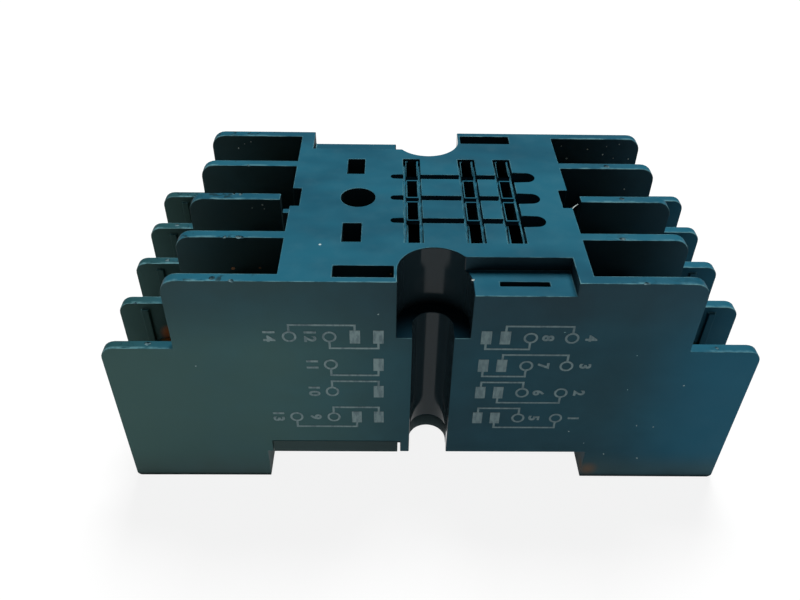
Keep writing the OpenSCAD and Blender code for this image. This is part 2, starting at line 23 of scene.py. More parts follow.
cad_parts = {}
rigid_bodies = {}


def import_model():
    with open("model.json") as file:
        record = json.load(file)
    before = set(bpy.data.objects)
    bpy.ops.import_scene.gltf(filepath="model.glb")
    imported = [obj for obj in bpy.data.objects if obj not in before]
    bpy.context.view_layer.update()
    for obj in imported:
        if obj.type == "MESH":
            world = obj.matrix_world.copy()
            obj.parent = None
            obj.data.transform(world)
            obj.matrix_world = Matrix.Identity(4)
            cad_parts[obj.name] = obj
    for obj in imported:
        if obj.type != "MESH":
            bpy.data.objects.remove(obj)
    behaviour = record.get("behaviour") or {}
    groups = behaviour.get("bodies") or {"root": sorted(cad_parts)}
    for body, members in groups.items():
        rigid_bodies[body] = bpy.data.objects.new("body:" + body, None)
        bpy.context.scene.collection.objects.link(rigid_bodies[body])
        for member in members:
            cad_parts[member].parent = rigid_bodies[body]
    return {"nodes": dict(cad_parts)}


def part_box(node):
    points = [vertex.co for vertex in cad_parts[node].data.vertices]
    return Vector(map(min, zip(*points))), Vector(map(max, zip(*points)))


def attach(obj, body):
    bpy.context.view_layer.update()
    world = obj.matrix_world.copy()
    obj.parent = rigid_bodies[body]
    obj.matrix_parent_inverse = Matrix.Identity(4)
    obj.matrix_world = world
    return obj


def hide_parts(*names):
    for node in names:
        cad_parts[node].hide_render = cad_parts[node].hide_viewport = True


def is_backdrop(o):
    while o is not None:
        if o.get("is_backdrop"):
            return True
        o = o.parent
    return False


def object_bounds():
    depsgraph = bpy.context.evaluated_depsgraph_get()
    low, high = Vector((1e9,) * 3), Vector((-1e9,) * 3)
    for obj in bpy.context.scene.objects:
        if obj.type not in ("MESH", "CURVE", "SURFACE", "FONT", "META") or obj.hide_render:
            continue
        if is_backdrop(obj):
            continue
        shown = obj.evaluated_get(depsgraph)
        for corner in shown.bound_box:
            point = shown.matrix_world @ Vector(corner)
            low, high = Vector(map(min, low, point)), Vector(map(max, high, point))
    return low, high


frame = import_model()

CAD_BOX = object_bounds()
MM = 0.001
WHITE = (1, 1, 1, 1)
Pair = tuple[float, float]
Triple = tuple[float, float, float]
Settings = dict[str | int, Any]
Links = dict[str | int, NodeSocket]
SEAM = 0.001 * MM
FIN_THICKNESS = 1.2 * MM
FIN_PITCH = (CAD_BOX[1].y - CAD_BOX[0].y - FIN_THICKNESS) / 4
LOG = logging.getLogger("relay_socket")


def linear(code: str) -> tuple[float, float, float, float]:
    """Turn a colour as it is seen into the linear values that shaders use.

    Args:
        code: An sRGB colour written as "#RRGGBB".

    Returns:
        Red, green, blue and an alpha of one.
    """
    parts = [int(code[i : i + 2], 16) / 255 for i in (1, 3, 5)]
    return (*(c / 12.92 if c <= 0.04045 else ((c + 0.055) / 1.055) ** 2.4 for c in parts), 1.0)


def per_mm(size: float) -> float:
    """Give a texture scale whose pattern repeats about every size millimetres."""
    return 1.0 / (size * MM)


def add_node(
    tree: NodeTree, kind: str, settings: Settings | None = None, links: Links | None = None
) -> Node:
    """Add one node to a tree.

    Args:
        tree: The tree that takes the node.
        kind: The node's type.
        settings: Values for the node's properties, or for its inputs by name or number.
        links: The output that feeds each input.

    Returns:
        The new node.
    """
    node = tree.nodes.new(kind)
    for key, value in (settings or {}).items():
        if isinstance(key, str) and hasattr(node, key):
            setattr(node, key, value)
        else:
            node.inputs[key].default_value = value
    for key, source in (links or {}).items():
        tree.links.new(source, node.inputs[key])
    return node


def blank_material(name: str) -> tuple[Material, NodeTree]:
    """Make a material whose node tree is empty.

    Args:
        name: The finish's name.

    Returns:
        The material and its tree.
    """
    material = bpy.data.materials.new(name)
    material.use_nodes = True
    material.node_tree.nodes.clear()
    return material, material.node_tree


def started_finish(name: str) -> tuple[Material, NodeTree, NodeSocket]:
    """Make an empty material and give the piece's own coordinates with it.

    Args:
        name: The finish's name.

    Returns:
        The material, its tree and the output with the coordinates.
    """
    material, tree = blank_material(name)
    return material, tree, add_node(tree, "ShaderNodeTexCoord").outputs["Object"]


def add_skin(tree: NodeTree, settings: Settings, links: Links) -> None:
    """Add the shader of a surface and send it to the material's output.

    Args:
        tree: The material's tree.
        settings: Fixed values of the shader.
        links: The output that feeds each of its other inputs.
    """
    skin = add_node(tree, "ShaderNodeBsdfPrincipled", settings, links)
    add_node(tree, "ShaderNodeOutputMaterial", links={"Surface": skin.outputs[0]})


def axes_of(tree: NodeTree, vector: NodeSocket) -> Any:
    """Split a vector's output into the outputs of its three axes."""
    return add_node(tree, "ShaderNodeSeparateXYZ", links={0: vector}).outputs


def facing(tree: NodeTree) -> Any:
    """Give the three outputs of the direction that the surface faces."""
    return axes_of(tree, add_node(tree, "ShaderNodeNewGeometry").outputs["Normal"])


def bump(tree: NodeTree, height: NodeSocket, strength: float, depth: float) -> NodeSocket:
    """Turn a pattern into fine relief.

    Args:
        tree: The material's tree.
        height: The pattern's output.
        strength: How strongly it shows, from 0 to 1.
        depth: Its depth in millimetres.

    Returns:
        The bent normal's output.
    """
    settings = {"Strength": strength, "Distance": depth * MM}
    return add_node(tree, "ShaderNodeBump", settings, {"Height": height}).outputs[0]


def product(tree: NodeTree, *shares: NodeSocket | float) -> NodeSocket:
    """Multiply several shares.

    Args:
        tree: The tree to add to.
        shares: The outputs and numbers that are multiplied.

    Returns:
        The product's output.
    """
    result = shares[0]
    for share in shares[1:]:
        result = calc(tree, "MULTIPLY", result, share)
    return result


def mixed(
    tree: NodeTree, share: NodeSocket, first: NodeSocket | str, second: NodeSocket | str
) -> NodeSocket:
    """Blend two colours.

    Args:
        tree: The tree to add to.
        share: How much of the second colour shows.
        first: A colour, or the output that gives it.
        second: A colour, or the output that gives it.

    Returns:
        The blended colour's output.
    """
    settings: Settings = {"data_type": "RGBA"}
    links: Links = {0: share}
    for place, colour in ((6, first), (7, second)):
        if isinstance(colour, str):
            settings[place] = linear(colour)
        else:
            links[place] = colour
    return add_node(tree, "ShaderNodeMix", settings, links).outputs[2]


def calc(
    tree: NodeTree, operation: str, first: NodeSocket | float, second: NodeSocket | float = 0.0
) -> NodeSocket:
    """Work out one sum between two numbers or outputs.

    Args:
        tree: The tree to add to.
        operation: The Math node's operation.
        first: A number, or the output that gives it.
        second: A number, or the output that gives it.

    Returns:
        The result's output.
    """
    settings: Settings = {"operation": operation}
    links: Links = {}
    for place, value in ((0, first), (1, second)):
        if isinstance(value, (int, float)):
            settings[place] = float(value)
        else:
            links[place] = value
    return add_node(tree, "ShaderNodeMath", settings, links).outputs[0]


def graded(
    tree: NodeTree, value: NodeSocket, start: float, stop: float, low: float = 0.0, high: float = 1.0
) -> NodeSocket:
    """Turn a range of a value smoothly into another range.

    Args:
        tree: The tree to add to.
        value: The output that is read.
        start: Value that gives low.
        stop: Value that gives high.
        low: Result at and before start.
        high: Result at and after stop.

    Returns:
        The result's output.
    """
    return add_node(
        tree,
        "ShaderNodeMapRange",
        {"interpolation_type": "SMOOTHSTEP", 1: start, 2: stop, 3: low, 4: high},
        {0: value},
    ).outputs[0]


def by_distance(
    tree: NodeTree, distance: NodeSocket, fade: Pair, low: float = 0.0, high: float = 1.0
) -> NodeSocket:
    """Turn a distance smoothly into a share.

    Args:
        tree: The tree to add to.
        distance: The output with the distance.
        fade: The distances in millimetres that give low and high.
        low: Share at and before the first distance.
        high: Share at and after the second distance.

    Returns:
        The share's output.
    """
    return graded(tree, distance, fade[0] * MM, fade[1] * MM, low, high)


def cloud(
    tree: NodeTree, place: NodeSocket, size: float, detail: float, stretch: Triple | None = None
) -> NodeSocket:
    """Add a soft random pattern.

    Args:
        tree: The tree to add to.
        place: Coordinates to draw it on.
        size: Size of its blobs in millimetres.
        detail: Octaves of finer pattern on it.
        stretch: How much closer the pattern lies along each axis, if it isn't even.

    Returns:
        The pattern's output, from 0 to 1.
    """
    if stretch:
        place = add_node(tree, "ShaderNodeMapping", {"Scale": stretch}, {"Vector": place}).outputs[0]
    settings = {"Scale": per_mm(size), "Detail": detail, "Roughness": 0.55}
    return add_node(tree, "ShaderNodeTexNoise", settings, {"Vector": place}).outputs[0]


def specks(
    tree: NodeTree, place: NodeSocket, spacing: float, radius: float, share: float
) -> NodeSocket:
    """Add small separate dots, such as dust.

    Args:
        tree: The tree to add to.
        place: Coordinates to draw them on.
        spacing: Distance between places where a dot may lie, in millimetres.
        radius: The largest dot's radius in millimetres.
        share: Share of those places that hold a dot.

    Returns:
        An output that is 1 in the dots.
    """
    cells = add_node(tree, "ShaderNodeTexVoronoi", {"Scale": per_mm(spacing)}, {"Vector": place})
    parts = add_node(tree, "ShaderNodeSeparateColor", links={0: cells.outputs["Color"]})
    chosen = calc(tree, "LESS_THAN", parts.outputs[0], share)
    reach = calc(tree, "MULTIPLY", parts.outputs[1], radius / spacing)
    inside = calc(tree, "LESS_THAN", cells.outputs["Distance"], reach)
    return calc(tree, "MULTIPLY", chosen, inside)


@dataclass(frozen=True)
class Mark:
    """One small mark at one place: a stain, a chip, a brown tint or a painted glint.

    Attributes:
        place: Its middle, in millimetres.
        core: Radius that it covers fully, in millimetres.
        reach: Radius where it ends, in millimetres.
        colour: Its colour.
    """

    place: Triple
    core: float
    reach: float
    colour: str

    def over(self, tree: NodeTree, place: NodeSocket, colour: NodeSocket) -> NodeSocket:
        """Lay the mark over a colour.

        Args:
            tree: The material's tree.
            place: The piece's own coordinates.
            colour: The unmarked colour.

        Returns:
            The marked colour's output.
        """
        centre = tuple(c * MM for c in self.place)
        away = add_node(tree, "ShaderNodeVectorMath", {"operation": "DISTANCE", 1: centre}, {0: place})
        inside = by_distance(tree, away.outputs["Value"], (self.reach, self.core))
        return mixed(tree, inside, colour, self.colour)


# BRASS_GLINT is a painted glint of a brass screw, laid on the plastic
BRASS_GLINT = "#B46A38"
BROWN_TINT = "#5A4A3C"
CHIP = "#B9CFD0"
MARKS = (
    # Painted glint: an orange spot on fin 1's front face in the lower left bay, for the screw's glint
    Mark((-28.6, -7.7, 16.0), 0.3, 1.5, BRASS_GLINT),
    # A brown tint on the front wall by the right foot's inner corner
    Mark((18.9, -14.2, 1.4), 0.2, 1.6, BROWN_TINT),
    Mark((-11.4, -8.8, 29.1), 0.10, 0.16, CHIP),
    Mark((3.5, -13.2, 29.1), 0.12, 0.22, CHIP),
    Mark((3.75, -14.2, 29.0), 0.12, 0.24, CHIP),
)


@dataclass(frozen=True)
class MouldedThermoplastic:
    """Injection-moulded, pigmented PBT: a satin skin with faint flow marks.

    What faces up reads as a dark teal, with a little pale dust on it; towards the left end
    it turns greyer, which is painted light. The steep walls get colours of their own, which
    are painted light and shade set apart from the tops: lighter and greyer at the left end
    and near the foot, darker and greyer near the top, darker in the middle, bluer at the
    right. The fins' tops are scuffed beside the screws, and the front edge of each is paler,
    part rubbing and part painted highlight. Each fade holds the two places, in millimetres,
    between which one tone turns into the next.
    """

    name: str
    body: str = "#1F6277"
    shade: str = "#185064"
    # Painted light: the colour that faces take towards the left end, where the light is weaker and warmer
    painted_left_tone: str = "#254F54"
    scuffed: str = "#12333C"
    rubbed: str = "#7DB4BC"
    # Painted light and shade for the steep walls, set by place along the socket and in height
    painted_wall_left: str = "#3B5350"
    painted_wall_middle: str = "#1F353C"
    painted_wall_right: str = "#1C4B5E"
    painted_wall_high: str = "#262F33"
    painted_wall_low: str = "#3A4643"
    painted_wall_share: float = 0.92
    height_shade_share: float = 0.6
    left_fade: Pair = (-22, -33)
    middle_fade: Pair = (-18, 4)
    right_fade: Pair = (18, 31)
    high_fade: Pair = (19, 28)
    low_fade: Pair = (5, 0.5)
    fin_fade: Pair = (16.5, 18.5)
    fin_edge: Pair = (0.42, 0.2)
    scratched: Pair = (10, -10)
    rub_and_highlight_fade: Pair = (-17, -30)
    dust: str = "#8FB5B8"
    dust_share: float = 0.03
    roughness: float = 0.55
    specular: float = 0.035
    grain: float = 0.4
    grain_depth: float = 0.012
    marks: tuple[Mark, ...] = ()

    def fin_wear_and_highlight(
        self, tree: NodeTree, place: NodeSocket, colour: NodeSocket, up: NodeSocket
    ) -> NodeSocket:
        """Scuff the fins' tops beside the screws, and pale the front edge of each: part rubbing, part painted
        highlight.

        Args:
            tree: The material's tree.
            place: The piece's own coordinates.
            colour: The unworn colour.
            up: How much a face looks up, from 0 to 1.

        Returns:
            The worn colour's output.
        """
        axes = axes_of(tree, place)
        fins = by_distance(tree, calc(tree, "ABSOLUTE", axes[0]), self.fin_fade)
        fins = product(tree, fins, up)
        # A thin band round one level of a soft pattern reads as a curved scratch
        contour = calc(tree, "ABSOLUTE", calc(tree, "SUBTRACT", cloud(tree, place, 1.3, 2.0), 0.5))
        scratch = graded(tree, contour, 0.045, 0.02)
        patch = graded(tree, cloud(tree, place, 2.6, 2.0), 0.50, 0.56)
        left = by_distance(tree, axes[0], self.scratched, 0.2, 0.9)
        colour = mixed(tree, product(tree, scratch, patch, left, fins), colour, self.scuffed)
        # Each fin top's front edge turns pale, more at the left end: part rubbing, part painted highlight
        across = calc(tree, "ADD", axes[1], 2 * FIN_PITCH + FIN_THICKNESS / 2)
        edge = by_distance(tree, calc(tree, "MODULO", across, FIN_PITCH), self.fin_edge)
        worn = graded(tree, cloud(tree, place, 1.4, 5.0), 0.42, 0.66, 0.0, 0.5)
        left = by_distance(tree, axes[0], self.rub_and_highlight_fade, 0.55, 1.0)
        return mixed(tree, product(tree, worn, left, edge, fins), colour, self.rubbed)

    def tint(self, tree: NodeTree, place: NodeSocket) -> NodeSocket:
        """Build the skin's colour.

        Args:
            tree: The material's tree.
            place: The piece's own coordinates.

        Returns:
            The colour's output.
        """
        flow = graded(tree, cloud(tree, place, 9.0, 3.0, (0.5, 1.0, 1.4)), 0.35, 0.68)
        axes = axes_of(tree, place)
        colour = mixed(tree, flow, self.body, self.shade)
        # Towards the left end every face turns greyer: painted light
        colour = mixed(tree, by_distance(tree, axes[0], self.left_fade), colour, self.painted_left_tone)
        # The steep walls' colour is painted light and shade: greyer than the tops, varied along the socket and
        # in height
        matt = self.painted_wall_left
        for axis, fade, most, tone in (
            (0, self.middle_fade, 1.0, self.painted_wall_middle),
            (0, self.right_fade, 1.0, self.painted_wall_right),
            (2, self.high_fade, self.height_shade_share, self.painted_wall_high),
            (2, self.low_fade, self.height_shade_share, self.painted_wall_low),
        ):
            matt = mixed(tree, by_distance(tree, axes[axis], fade, 0.0, most), matt, tone)
        level = facing(tree)[2]
        steep = graded(tree, calc(tree, "ABSOLUTE", level), 0.85, 0.35)
        low, high = self.painted_wall_share - 0.1, self.painted_wall_share
        patchy = graded(tree, cloud(tree, place, 6.0, 4.0), 0.25, 0.75, low, high)
        colour = mixed(tree, product(tree, steep, patchy), colour, matt)
        up = graded(tree, level, 0.6, 0.95)
        colour = self.fin_wear_and_highlight(tree, place, colour, up)
        haze = graded(tree, cloud(tree, place, 2.2, 6.0), 0.4, 0.8)
        colour = mixed(tree, product(tree, up, haze, self.dust_share), colour, self.dust)
        colour = mixed(tree, specks(tree, place, 2.6, 0.16, 0.10), colour, self.dust)
        for mark in self.marks:
            colour = mark.over(tree, place, colour)
        return colour

    def material(self) -> Material:
        """Build the finish."""
        material, tree, place = started_finish(self.name)
        low, high = self.roughness - 0.05, self.roughness + 0.07
        rough = graded(tree, cloud(tree, place, 3.0, 5.0), 0.3, 0.7, low, high)
        # The moulded grain is finer than the render shows, so it is drawn a little coarser
        relief = bump(tree, cloud(tree, place, self.grain, 4.0), 0.35, self.grain_depth)
        settings = {"IOR": 1.5, "Specular IOR Level": self.specular}
        links = {"Base Color": self.tint(tree, place), "Roughness": rough, "Normal": relief}
        add_skin(tree, settings, links)
        return material


def painted_recess_shade() -> MouldedThermoplastic:
    """Give the same PBT for the mounting recesses: a dark colour that is painted shade, on a glossy skin."""
    deep, dark = "#0E2A36", "#1E2B30"
    return MouldedThermoplastic(
        "painted_recess_shade",
        body=deep, shade="#0D222B", painted_left_tone=deep,
        painted_wall_left=dark, painted_wall_middle=dark, painted_wall_high=dark, painted_wall_low=dark, painted_wall_share=1.0,
        dust_share=0.0, roughness=0.12, specular=0.19, grain_depth=0.004,
    )


@dataclass(frozen=True)
class RubbedHighlitEdge(MouldedThermoplastic):
    """The same PBT where an edge is rounded: paler and smoother, in uneven patches, part rubbing and part
    painted highlight.
    """

    least: float = 0.10
    most: float = 0.80
    sheltered: float = 0.35
    end_fade: Pair = (15.5, 17)
    side_fade: Pair = (13.2, 14.2)

    def tint(self, tree: NodeTree, place: NodeSocket) -> NodeSocket:
        """Build the rubbed colour over the plain skin.

        Args:
            tree: The material's tree.
            place: The piece's own coordinates.

        Returns:
            The colour's output.
        """
        skin = super().tint(tree, place)
        worn = graded(tree, cloud(tree, place, 1.6, 5.0), 0.35, 0.65, self.least, self.most)
        # Edges that face up take more of it: painted highlight
        up = graded(tree, facing(tree)[2], 0.1, 0.5)
        # Fins and outer walls get more of it, as knocks and as painted reflection at the fin ends; the edges
        # round the slots keep more of their skin
        axes = axes_of(tree, place)
        along, across = (calc(tree, "ABSOLUTE", axis) for axis in (axes[0], axes[1]))
        ends = by_distance(tree, along, self.end_fade, self.sheltered, 1.0)
        sides = by_distance(tree, across, self.side_fade, self.sheltered, 1.0)
        exposed = calc(tree, "MAXIMUM", ends, sides)
        return mixed(tree, product(tree, worn, up, exposed), skin, self.rubbed)


@dataclass(frozen=True)
class BrokenPlastic:
    """Torn PBT in a nick: matt, with whitened streaks where it stretched."""

    name: str
    deep: str = "#17434F"
    white: str = "#8FB4B9"
    whitened: float = 0.45

    def material(self) -> Material:
        """Build the finish."""
        material, tree, place = started_finish(self.name)
        torn = graded(tree, cloud(tree, place, 0.35, 4.0), 0.42, 0.62, 0.0, self.whitened)
        relief = bump(tree, cloud(tree, place, 0.2, 3.0), 0.8, 0.05)
        settings = {"IOR": 1.5, "Specular IOR Level": 0.3, "Roughness": 0.7}
        colour = mixed(tree, torn, self.deep, self.white)
        add_skin(tree, settings, {"Base Color": colour, "Normal": relief})
        return material


@dataclass(frozen=True)
class PadPrintedInk:
    """Pad-printed grey ink, thin and rubbed, so the plastic shows through, more so to the right."""

    name: str
    ink: str = "#667B7D"
    ground: str = "#2C444C"
    rubbed: float = 0.6
    faded: float = 0.35
    right_fade: Pair = (-8, 8)

    def material(self) -> Material:
        """Build the finish."""
        material, tree, place = started_finish(self.name)
        fine = cloud(tree, place, 0.5, 5.0, (1.6, 1.0, 0.5))
        fine = graded(tree, fine, 0.40, 0.68, 0.0, self.rubbed)
        wide = graded(tree, cloud(tree, place, 5.0, 3.0), 0.35, 0.75, 0.0, 0.35)
        colour = mixed(tree, wide, mixed(tree, fine, self.ink, self.ground), self.ground)
        right = by_distance(tree, axes_of(tree, place)[0], self.right_fade, 0.0, self.faded)
        colour = mixed(tree, right, colour, self.ground)
        settings = {"IOR": 1.5, "Specular IOR Level": 0.3, "Roughness": 0.55}
        add_skin(tree, settings, {"Base Color": colour})
        return material


@dataclass(frozen=True)
class DulledMetal:
    """Brass, or yellow-passivated steel, dulled by years in the air.

    The metal is warm and soft in its reflections, with brown tarnish in patches.
    """

    name: str
    bright: str
    tarnish: str
    patch: float = 1.5
    most: float = 0.8
    roughness: float = 0.34

    def material(self) -> Material:
        """Build the finish."""
        material, tree, place = started_finish(self.name)
        worn = graded(tree, cloud(tree, place, self.patch, 5.0), 0.35, 0.72, 0.05, self.most)
        low, high = self.roughness - 0.06, self.roughness + 0.18
        rough = graded(tree, cloud(tree, place, 0.8, 4.0), 0.3, 0.75, low, high)
        # Rolling and turning marks are drawn at 0.25 mm, coarser than the real ones
        relief = bump(tree, cloud(tree, place, 0.25, 2.0), 0.3, 0.01)
        colour = mixed(tree, worn, self.bright, self.tarnish)
        add_skin(tree, {"Metallic": 1.0}, {"Base Color": colour, "Roughness": rough, "Normal": relief})
        return material


@dataclass(frozen=True)
class GrainFinish:
    """A grain of dust, a fibre, a thin pale sliver, or an orange grain that stands for a painted glint: matt."""

    name: str
    colour: str
    dull: str = "#6F7F80"

    def material(self) -> Material:
        """Build the finish."""
        material, tree, place = started_finish(self.name)
        uneven = graded(tree, cloud(tree, place, 0.3, 2.0), 0.3, 0.7, 0.0, 0.5)
        colour = mixed(tree, uneven, self.colour, self.dull)
        add_skin(tree, {"Roughness": 0.8, "Specular IOR Level": 0.3}, {"Base Color": colour})
        return material


def deselect() -> None:
    """Leave nothing selected."""
    for thing in bpy.context.view_layer.objects:
        thing.select_set(False)


def only(thing: Object) -> Object:
    """Select one object alone and make it active.

    Args:
        thing: The object.

    Returns:
        The same object.
    """
    deselect()
    thing.select_set(True)
    bpy.context.view_layer.objects.active = thing
    return thing


def pick(thing: Object, wanted: Callable[[Any], bool], what: str = "verts") -> int:
    """Select the parts of a mesh that pass a test, in edit mode.

    Args:
        thing: The object in edit mode.
        wanted: The test for one vertex, edge or face.
        what: "verts", "edges" or "faces".

    Returns:
        How many are selected.
    """
    mode = {"verts": "VERT", "edges": "EDGE", "faces": "FACE"}[what]
    bpy.ops.mesh.select_mode(type=mode)
    bpy.ops.mesh.select_all(action="DESELECT")
    mesh = bmesh.from_edit_mesh(thing.data)
    chosen = [part for part in getattr(mesh, what) if wanted(part)]
    for part in chosen:
        part.select_set(True)
    mesh.select_flush_mode()
    bmesh.update_edit_mesh(thing.data)
    return len(chosen)


@contextmanager
def editing() -> Iterator[None]:
    """Edit the active piece, with all of it selected at the start."""
    bpy.ops.object.mode_set(mode="EDIT")
    bpy.ops.mesh.select_all(action="SELECT")
    yield
    bpy.ops.object.mode_set(mode="OBJECT")


def extrude(step: Iterable[float]) -> None:
    """Extrude what is selected by a step in metres."""
    bpy.ops.mesh.extrude_region_move(TRANSFORM_OT_translate={"value": step})


def face_outwards() -> None:
    """Turn every face of the edited piece outwards."""
    bpy.ops.mesh.select_all(action="SELECT")
    bpy.ops.mesh.normals_make_consistent(inside=False)


def set_shape() -> None:
    """Bring the active piece's place, turn and scale into its mesh."""
    bpy.ops.object.transform_apply(location=True, rotation=True, scale=True)


def linked(name: str, data: bpy.types.ID) -> Object:
    """Put a new object into the scene.

    Args:
        name: Its name.
        data: Its mesh, lamp or camera.

    Returns:
        The new object.
    """
    thing = bpy.data.objects.new(name, data)
    bpy.context.scene.collection.objects.link(thing)
    return thing


def apply_all(thing: Object) -> None:
    """Apply every modifier of a piece.

    Args:
        thing: The piece.
    """
    only(thing)
    for modifier in list(thing.modifiers):
        bpy.ops.object.modifier_apply(modifier=modifier.name)


def settle(thing: Object, name: str) -> Object:
    """Bring a piece's place into its mesh and name it.

    Args:
        thing: The piece.
        name: Its name.

    Returns:
        The same piece.
    """
    only(thing)
    set_shape()
    thing.name = name
    thing.data.name = name
    return thing


def joined(parts: Iterable[Object]) -> Object:
    """Join several pieces into one.

    Args:
        parts: The pieces.

    Returns:
        The joined piece.
    """
    listed = list(parts)
    deselect()
    for part in listed:
        part.select_set(True)
    bpy.context.view_layer.objects.active = listed[0]
    bpy.ops.object.join()
    return listed[0]


class End(Enum):
    """The two ends of the socket."""

    LEFT = -1
    RIGHT = 1


class Tier(Enum):
    """The two terminal tiers."""

    UPPER = "upper"
    LOWER = "lower"


@dataclass(frozen=True)
class Layout:
    """Main places of the socket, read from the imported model, in millimetres."""

    half_length: float
    half_width: float
    height: float
    upper_reach: float = 26.25
    lower_top: float = 20.3
    fin_thickness: float = FIN_THICKNESS / MM

    @classmethod
    def of_frame(cls) -> Layout:
        """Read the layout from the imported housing's box."""
        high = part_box("housing")[1] / MM
        return cls(half_length=high.x, half_width=high.y, height=high.z)

    def fin_y(self, fin: int) -> float:
        """Give the middle of a fin; fin 0 is the front wall and fin 4 the back wall."""
        return (fin - 2) * (2 * self.half_width - self.fin_thickness) / 4

    def fin(self, tier: Tier) -> Pair:
        """Give the reach of a tier's fins.

        Args:
            tier: The tier.

        Returns:
            How far from the centre they end, and how high they stand.
        """
        if tier is Tier.UPPER:
            return self.upper_reach, self.height
        return self.half_length, self.lower_top


class SubAssembly(ABC):
    """A group of pieces that is built and dressed together."""

    title = "sub-assembly"

    @abstractmethod
    def build(self) -> list[Object]:
        """Build the pieces and give them back."""

    def make(self) -> list[Object]:
        """Build the pieces and report each of them."""
        pieces = self.build()
        for piece in pieces:
            faces = len(piece.data.polygons) if piece.type == "MESH" else 0
            LOG.info("%s: %s, %d faces", self.title, piece.name, faces)
        return pieces


@dataclass(frozen=True)
class Nick:
    """A nick that a screwdriver left in the top of a fin.

    Attributes:
        end: End of the socket.
        tier: Tier of the fin.
        fin: Number of the fin, from the front wall.
        inset: Distance from the fin's end.
        length: Length along the fin.
        depth: Depth under the top.
        edge: Where it lies across the fin: -1 front edge, 0 middle, 1 back edge.
    """

    end: End
    tier: Tier
    fin: int
    inset: float
    length: float
    depth: float
    edge: float = -1.0


NICK_ROWS = {
    (End.LEFT, Tier.UPPER): (
        (0, 5.1, 0.9, 0.30, -0.2), (0, 6.9, 0.7, 0.26, -0.9), (1, 6.7, 1.1, 0.32, -1.0),
        (1, 5.2, 0.6, 0.18, -1.0), (2, 4.8, 0.35, 0.20, 0.9), (2, 5.6, 0.4, 0.22, 0.7),
        (3, 5.5, 0.5, 0.14, -1.0),
    ),
    (End.LEFT, Tier.LOWER): (
        (0, 4.8, 0.8, 0.22, 0.3), (1, 1.9, 0.4, 0.18, -1.0), (2, 3.7, 0.6, 0.22, 0.1),
        (3, 3.3, 0.9, 0.16, 0.2),
    ),
    (End.RIGHT, Tier.UPPER): (
        (0, 6.3, 0.7, 0.20, -1.0), (1, 7.0, 0.8, 0.20, -0.6), (2, 5.4, 0.7, 0.24, 0.2),
        (3, 5.6, 0.8, 0.22, 0.0),
    ),
    (End.RIGHT, Tier.LOWER): ((0, 4.6, 0.6, 0.12, 0.0),),
}
NICKS = tuple(Nick(*where, *row) for where, rows in NICK_ROWS.items() for row in rows)
RUBBED_HIGHLIT_SLOT, TORN_SLOT, RECESS_SHADE_SLOT = 1, 2, 3


